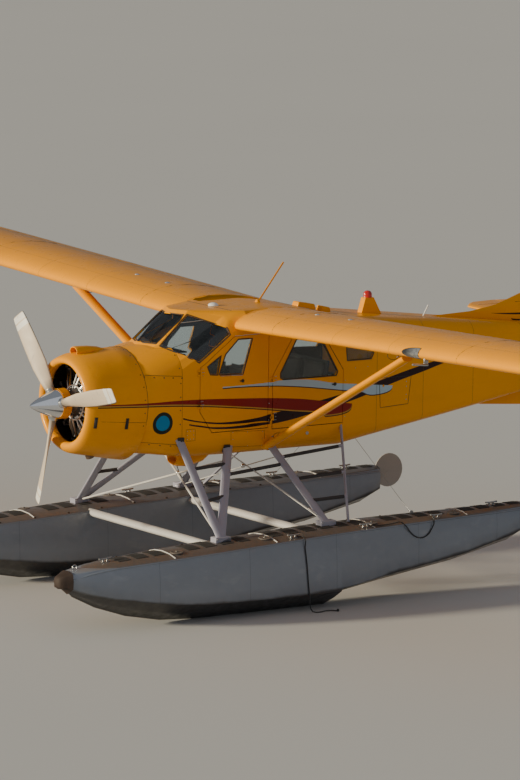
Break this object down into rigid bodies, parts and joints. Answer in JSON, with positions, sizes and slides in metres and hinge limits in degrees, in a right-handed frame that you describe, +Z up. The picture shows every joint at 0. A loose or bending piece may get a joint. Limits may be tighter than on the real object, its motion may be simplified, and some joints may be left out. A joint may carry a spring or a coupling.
{
  "type": "single-engined high-wing floatplane",
  "caption": "High-wing floatplane with a radial engine, braced wings, hinged doors and control surfaces, standing on twin stepped floats.",
  "frame": {"origin": "on the ground under the middle of the aircraft's box, in its plane of symmetry", "axes": "+X to the nose, +Y to port along the span, +Z up"},
  "size_m": [9.9, 14.63, 4.055],
  "materials": {
    "yellow_paint": "gloss",
    "blade_paint": "satin",
    "spinner_chrome": "mirror",
    "float_paint": "weathered",
    "strut_paint": "satin",
    "steel": "satin",
    "engine_metal": "satin",
    "rubber": "matte",
    "glass": "clear",
    "seat_leather": "satin",
    "panel_black": "matte",
    "red_lamp": "gloss"
  },
  "bodies": {
    "airframe": {"cabin_shell": "yellow_paint", "tail_cone": "yellow_paint", "fin": "yellow_paint", "tailplane": "yellow_paint", "nose_cowl": "yellow_paint", "accessory_cowl": "yellow_paint", "oil_cooler_fairing": "yellow_paint", "air_scoop": "yellow_paint", "whip_aerial": "yellow_paint", "beacon_fairing": "yellow_paint", "wing_port": "yellow_paint", "wing_starboard": "yellow_paint", "wing_strut_port": "yellow_paint", "wing_strut_starboard": "yellow_paint", "float_port": "float_paint", "float_starboard": "float_paint", "front_float_strut_port": "strut_paint", "front_float_strut_starboard": "strut_paint", "rear_float_strut_port": "strut_paint", "rear_float_strut_starboard": "strut_paint", "ladder_port": "strut_paint", "ladder_starboard": "strut_paint", "front_spreader_bar": "steel", "rear_spreader_bar": "steel", "front_cross_brace": "steel", "rear_cross_brace": "steel", "oil_tank": "steel", "engine": "engine_metal", "bow_bumper_port": "rubber", "bow_bumper_starboard": "rubber", "windscreen": "glass", "side_pane_port": "glass", "side_pane_starboard": "glass", "rear_window_port": "glass", "rear_window_starboard": "glass", "rear_bench": "seat_leather", "front_seat_port": "seat_leather", "front_seat_starboard": "seat_leather", "instrument_panel": "panel_black", "beacon": "red_lamp"},
    "propeller": {"propeller": "blade_paint", "spinner": "spinner_chrome"},
    "elevator": {"elevator": "yellow_paint"},
    "rudder": {"rudder": "yellow_paint"},
    "cockpit_door_port": {"cockpit_door_port": "yellow_paint", "cockpit_door_window_port": "glass", "quarter_window_port": "glass"},
    "cabin_door_port": {"cabin_door_port": "yellow_paint", "cabin_door_window_port": "glass"},
    "flap_port": {"flap_port": "yellow_paint"},
    "aileron_port": {"aileron_port": "yellow_paint"},
    "water_rudder_port": {"water_rudder_port": "steel"},
    "cockpit_door_starboard": {"cockpit_door_starboard": "yellow_paint", "cockpit_door_window_starboard": "glass", "quarter_window_starboard": "glass"},
    "cabin_door_starboard": {"cabin_door_starboard": "yellow_paint", "cabin_door_window_starboard": "glass"},
    "flap_starboard": {"flap_starboard": "yellow_paint"},
    "aileron_starboard": {"aileron_starboard": "yellow_paint"},
    "water_rudder_starboard": {"water_rudder_starboard": "steel"}
  },
  "joints": [
    {"name": "propeller_spin", "type": "hinge", "parent": "airframe", "child": "propeller", "pos_m": [4, 0, 2.415], "axis": [1, 0, 0], "continuous": true},
    {"name": "rudder_turn", "type": "hinge", "parent": "airframe", "child": "rudder", "pos_m": [-4.4, 0, 3.215], "axis": [0, 0, 1], "range_deg": [-25, 25]},
    {"name": "elevator_turn", "type": "hinge", "parent": "airframe", "child": "elevator", "pos_m": [-4.3, 0, 2.835], "axis": [0, 1, 0], "range_deg": [-20, 25]},
    {"name": "cockpit_door_port_open", "type": "hinge", "parent": "airframe", "child": "cockpit_door_port", "pos_m": [2.379, 0.658, 2.56], "axis": [0, 0, -1], "range_deg": [0, 85]},
    {"name": "cabin_door_port_open", "type": "hinge", "parent": "airframe", "child": "cabin_door_port", "pos_m": [1.332, 0.658, 2.37], "axis": [0, 0, -1], "range_deg": [0, 85]},
    {"name": "flap_port_lower", "type": "hinge", "parent": "airframe", "child": "flap_port", "pos_m": [0.69312, 2.25, 3.38819], "axis": [0, -0.9994, -0.0358], "range_deg": [0, 50]},
    {"name": "aileron_port_turn", "type": "hinge", "parent": "airframe", "child": "aileron_port", "pos_m": [0.69312, 5.44, 3.50238], "axis": [0, 0.9994, 0.0358], "range_deg": [-18, 18]},
    {"name": "water_rudder_port_lower", "type": "hinge", "parent": "airframe", "child": "water_rudder_port", "pos_m": [-1.822, 1.552, 0.77], "axis": [0, -1, 0], "range_deg": [0, 78]},
    {"name": "cockpit_door_starboard_open", "type": "hinge", "parent": "airframe", "child": "cockpit_door_starboard", "pos_m": [2.379, -0.658, 2.56], "axis": [0, 0, 1], "range_deg": [0, 85]},
    {"name": "cabin_door_starboard_open", "type": "hinge", "parent": "airframe", "child": "cabin_door_starboard", "pos_m": [1.332, -0.658, 2.37], "axis": [0, 0, 1], "range_deg": [0, 85]},
    {"name": "flap_starboard_lower", "type": "hinge", "parent": "airframe", "child": "flap_starboard", "pos_m": [0.69312, -2.25, 3.38819], "axis": [0, -0.9994, 0.0358], "range_deg": [0, 50]},
    {"name": "aileron_starboard_turn", "type": "hinge", "parent": "airframe", "child": "aileron_starboard", "pos_m": [0.69312, -5.44, 3.50238], "axis": [0, 0.9994, -0.0358], "range_deg": [-18, 18]},
    {"name": "water_rudder_starboard_lower", "type": "hinge", "parent": "airframe", "child": "water_rudder_starboard", "pos_m": [-1.822, -1.552, 0.77], "axis": [0, -1, 0], "range_deg": [0, 78]}
  ],
  "couplings": [
    {"joint": "flap_starboard_lower", "follows": "flap_port_lower", "ratio": 1},
    {"joint": "aileron_starboard_turn", "follows": "aileron_port_turn", "ratio": -1},
    {"joint": "water_rudder_starboard_lower", "follows": "water_rudder_port_lower", "ratio": 1}
  ]
}
